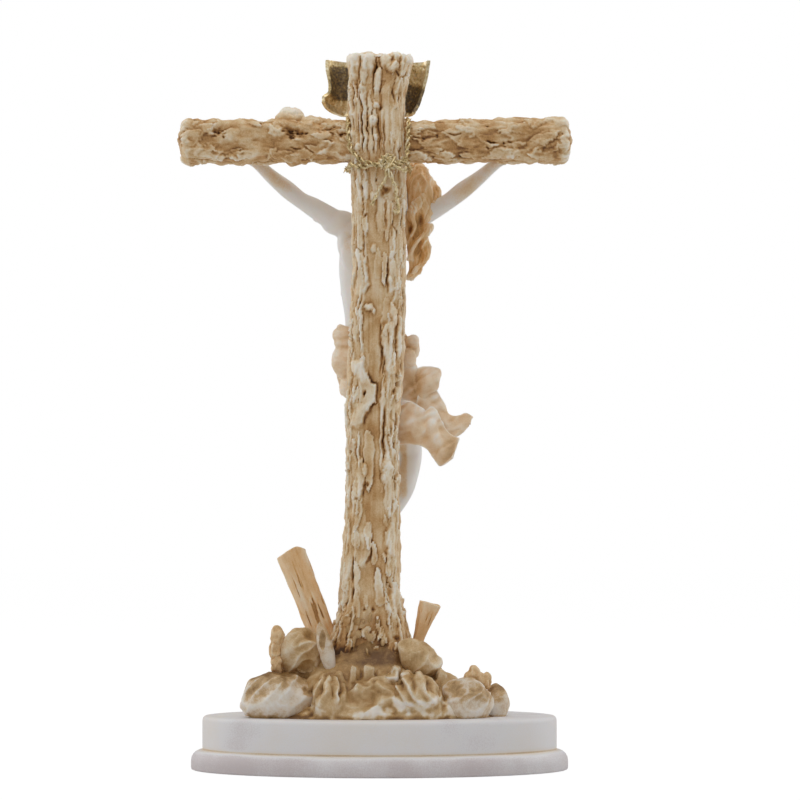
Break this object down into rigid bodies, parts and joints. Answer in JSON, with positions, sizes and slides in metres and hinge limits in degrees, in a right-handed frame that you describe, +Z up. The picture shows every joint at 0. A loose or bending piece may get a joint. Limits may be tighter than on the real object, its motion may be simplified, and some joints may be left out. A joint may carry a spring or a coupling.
{
  "type": "standing crucifix",
  "caption": "Standing crucifix: bark-covered cross with a white figure, gilt scroll and wire lashing, planted in a rock mound on an oval plinth.",
  "frame": {"origin": "centre of the plinth's oval, on the felt's underside", "axes": "+Z up along the cross, +X towards the figure's left hand, the figure faces -Y"},
  "size_m": [0.164, 0.1, 0.3],
  "materials": {
    "plinth_marble": "matte cast marble-dust resin, off-white",
    "felt": "dark green pressed felt",
    "steel": "zinc-plated steel",
    "washed_rock": "cast rock with a tan wash in its hollows",
    "pale_stone": "pale cast stones with a tan wash",
    "washed_timber": "cast timber with an orange-tan wash",
    "washed_bark": "cast bark with a tan wash and pale raised flakes",
    "dowel_wood": "plain hardwood dowel",
    "gilt_metal": "gilded, dark in the hollows",
    "figure_marble": "fine cast marble-dust resin, white, warm in the creases",
    "washed_hair": "cast hair with a tan wash",
    "washed_thorns": "cast thorn twigs with a brown wash",
    "washed_cloth": "cast cloth with a tan wash",
    "dark_iron": "dark iron nails"
  },
  "bodies": {
    "root": {"plinth": "plinth_marble", "felt_pad": "felt", "base_screw": "steel", "base_washer": "steel", "rock_mound": "washed_rock", "boulder_left": "pale_stone", "boulder_right": "pale_stone", "end_stone_right": "pale_stone", "ledge_rock_left": "washed_rock", "ledge_rock_right": "washed_rock", "upright_shard": "pale_stone", "pebble_stack": "washed_rock", "pebble_pair": "washed_rock", "stake_left": "washed_timber", "stake_right": "washed_timber", "post": "washed_bark", "crossbeam": "washed_bark", "lap_dowel": "dowel_wood", "back_dowel": "dowel_wood", "arm_dowels": "dowel_wood", "neck_dowel": "dowel_wood", "scroll": "gilt_metal", "scroll_pins": "gilt_metal", "lashing_loops": "gilt_metal", "lashing_knot": "gilt_metal", "torso": "figure_marble", "left_arm": "figure_marble", "right_arm": "figure_marble", "left_leg": "figure_marble", "right_leg": "figure_marble", "head": "figure_marble", "hair": "washed_hair", "beard": "washed_hair", "crown_of_thorns": "washed_thorns", "loincloth": "washed_cloth", "cloth_tail_upper": "washed_cloth", "cloth_tail_lower": "washed_cloth", "hand_nails": "dark_iron", "foot_nail": "dark_iron"}
  },
  "joints": []
}
